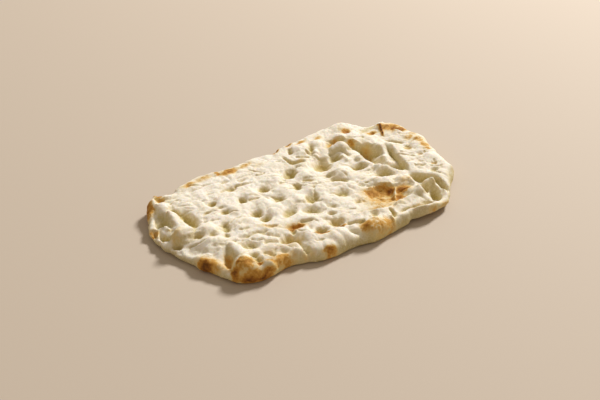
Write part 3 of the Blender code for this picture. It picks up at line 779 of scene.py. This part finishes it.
def semolinaTree():
    # scatters flattened grains over a crust, in places that the crust's own values give
    tree = bpy.data.node_groups.new("semolina", "GeometryNodeTree")
    names = {}
    for name, kind in (("Crust", "Geometry"), ("Density", "Float"), ("Radius", "Float"), ("Seed", "Int"),
                       ("Material", "Material")):
        socket = tree.interface.new_socket(name, in_out="INPUT", socket_type="NodeSocket" + kind)
        names[name] = socket.identifier
    tree.interface.new_socket("Grains", in_out="OUTPUT", socket_type="NodeSocketGeometry")
    given = addNode(tree, "NodeGroupInput").outputs
    floury = addNode(tree, "GeometryNodeInputNamedAttribute",
                     {"data_type": "FLOAT", "Name": "floury"}).outputs[0]
    density = addNode(tree, "ShaderNodeMath", {"operation": "MULTIPLY"},
                      {0: floury, 1: given["Density"]}).outputs[0]
    spots = addNode(tree, "GeometryNodeDistributePointsOnFaces", {},
                    {"Mesh": given["Crust"], "Density": density, "Seed": given["Seed"]}).outputs["Points"]
    grain = addNode(tree, "GeometryNodeMeshIcoSphere", {"Subdivisions": 1},
                    {"Radius": given["Radius"]}).outputs[0]
    turn = addNode(tree, "FunctionNodeRandomValue", {"data_type": "FLOAT_VECTOR", 1: (2 * math.pi,) * 3},
                   {"Seed": given["Seed"]}).outputs[0]
    size = addNode(tree, "FunctionNodeRandomValue", {"data_type": "FLOAT_VECTOR", 0: semolina["least"],
                                                     1: semolina["most"]}, {"Seed": given["Seed"]}).outputs[0]
    placed = addNode(tree, "GeometryNodeInstanceOnPoints", {},
                     {"Points": spots, "Instance": grain, "Rotation": turn, "Scale": size}).outputs[0]
    real = addNode(tree, "GeometryNodeRealizeInstances", {}, {0: placed}).outputs[0]
    coated = addNode(tree, "GeometryNodeSetMaterial", {},
                     {"Geometry": real, "Material": given["Material"]}).outputs[0]
    addNode(tree, "NodeGroupOutput", {}, {"Grains": coated})
    return tree, names


def semolinaMaterial():
    # Coarse grains of durum wheat: hard, pale yellow and slightly glassy, many of them dusted with flour.
    material = bpy.data.materials.new("coarseSemolina")
    material.use_nodes = True
    tree = material.node_tree
    shader = tree.nodes["Principled BSDF"]
    place = addNode(tree, "ShaderNodeTexCoord").outputs["Object"]
    tint = addNode(tree, "ShaderNodeTexNoise", {"Scale": perMetre(semolina["tint"]), "Detail": 2},
                   {"Vector": place}).outputs["Fac"]
    share = addNode(tree, "ShaderNodeMapRange", semolina["dustedShare"], {"Value": tint}).outputs[0]
    colour = addNode(tree, "ShaderNodeMix", {"data_type": "RGBA", 6: toLinear(semolina["grain"]),
                                             7: toLinear(semolina["dusted"])}, {0: share}).outputs[2]
    tree.links.new(colour, shader.inputs["Base Color"])
    shader.inputs["Roughness"].default_value = semolina["roughness"]
    shader.inputs["Subsurface Weight"].default_value = semolina["subsurface"]
    shader.inputs["Subsurface Scale"].default_value = semolina["lightDepth"] * mm
    return material


def scatterSemolina(crust):
    tree, names = semolinaTree()
    maker = linked("semolinaMaker", crust.data)
    scatter = maker.modifiers.new("scatter", "NODES")
    scatter.node_group = tree
    scatter[names["Density"]] = semolina["density"] / mm**2
    scatter[names["Radius"]] = semolina["radius"] * mm
    scatter[names["Seed"]] = semolina["seed"]
    scatter[names["Material"]] = semolinaMaterial()
    grains = plainMesh(maker, "semolina_grains")
    print("semolina has", len(grains.data.polygons), "faces")
    return grains


# camera, lamp, room light and floor: angles in degrees, sizes and places in millimetres
studio = {
    "lens": 54.0, "sensor": 36.0, "azimuth": -35.5, "elevation": 32.0, "distance": 855.0,
    "aim": (-11.11, 5.83, 1.0),
    "key": {"side": 36.0, "elevation": 38.0, "distance": 4000.0, "size": 825.0, "power": 194.0,
            "colour": "FFFFFF"},
    "fill": {"colour": "FFF1DC", "strength": 0.4},
    "floor": {"colour": "C4B5A4", "half": 3000.0, "below": 0.2, "roughness": 0.8},
}


def fromAngles(azimuth, elevation):
    a, e = math.radians(azimuth), math.radians(elevation)
    return Vector((math.sin(a) * math.cos(e), -math.cos(a) * math.cos(e), math.sin(e)))


def addCamera():
    data = bpy.data.cameras.new("camera")
    data.lens = studio["lens"]
    data.sensor_width = studio["sensor"]
    camera = linked("camera", data)
    back = fromAngles(studio["azimuth"], studio["elevation"])
    camera.location = (Vector(studio["aim"]) + back * studio["distance"]) * mm
    camera.rotation_euler = back.to_track_quat("Z", "Y").to_euler()
    bpy.context.scene.camera = camera


def addLights():
    key = studio["key"]
    data = bpy.data.lights.new("softbox", "AREA")
    data.shape = "DISK"
    data.size = key["size"] * mm
    data.energy = key["power"]
    data.color = toLinear(key["colour"])[:3]
    softbox = linked("softbox", data)
    away = fromAngles(studio["azimuth"] + 180.0 - key["side"], key["elevation"])
    softbox.location = away * key["distance"] * mm
    softbox.rotation_euler = away.to_track_quat("Z", "Y").to_euler()
    world = bpy.data.worlds.new("paleRoom")
    world.use_nodes = True
    fill = world.node_tree.nodes["Background"]
    fill.inputs["Color"].default_value = toLinear(studio["fill"]["colour"])
    fill.inputs["Strength"].default_value = studio["fill"]["strength"]
    bpy.context.scene.world = world
    bpy.context.scene.view_settings.view_transform = "Standard"


def addFloor():
    half = studio["floor"]["half"] * mm
    sheet = bmesh.new()
    bmesh.ops.create_grid(sheet, x_segments=1, y_segments=1, size=half)
    mesh = bpy.data.meshes.new("floor")
    sheet.to_mesh(mesh)
    sheet.free()
    mesh.transform(Matrix.Translation((0.0, 0.0, -studio["floor"]["below"] * mm)))
    material = bpy.data.materials.new("paleMattFloor")
    material.use_nodes = True
    shader = material.node_tree.nodes["Principled BSDF"]
    shader.inputs["Base Color"].default_value = toLinear(studio["floor"]["colour"])
    shader.inputs["Roughness"].default_value = studio["floor"]["roughness"]
    mesh.materials.append(material)
    floor = linked("floor", mesh)


addCamera()
addLights()
addFloor()
print("studio ready")

crust = makeCrust()
crust.data.materials.clear()
crust.data.materials.append(doughMaterial())
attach(crust, "root")
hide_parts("crust")
print("crust finished")

grains = scatterSemolina(crust)
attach(grains, "root")
print("semolina scattered")
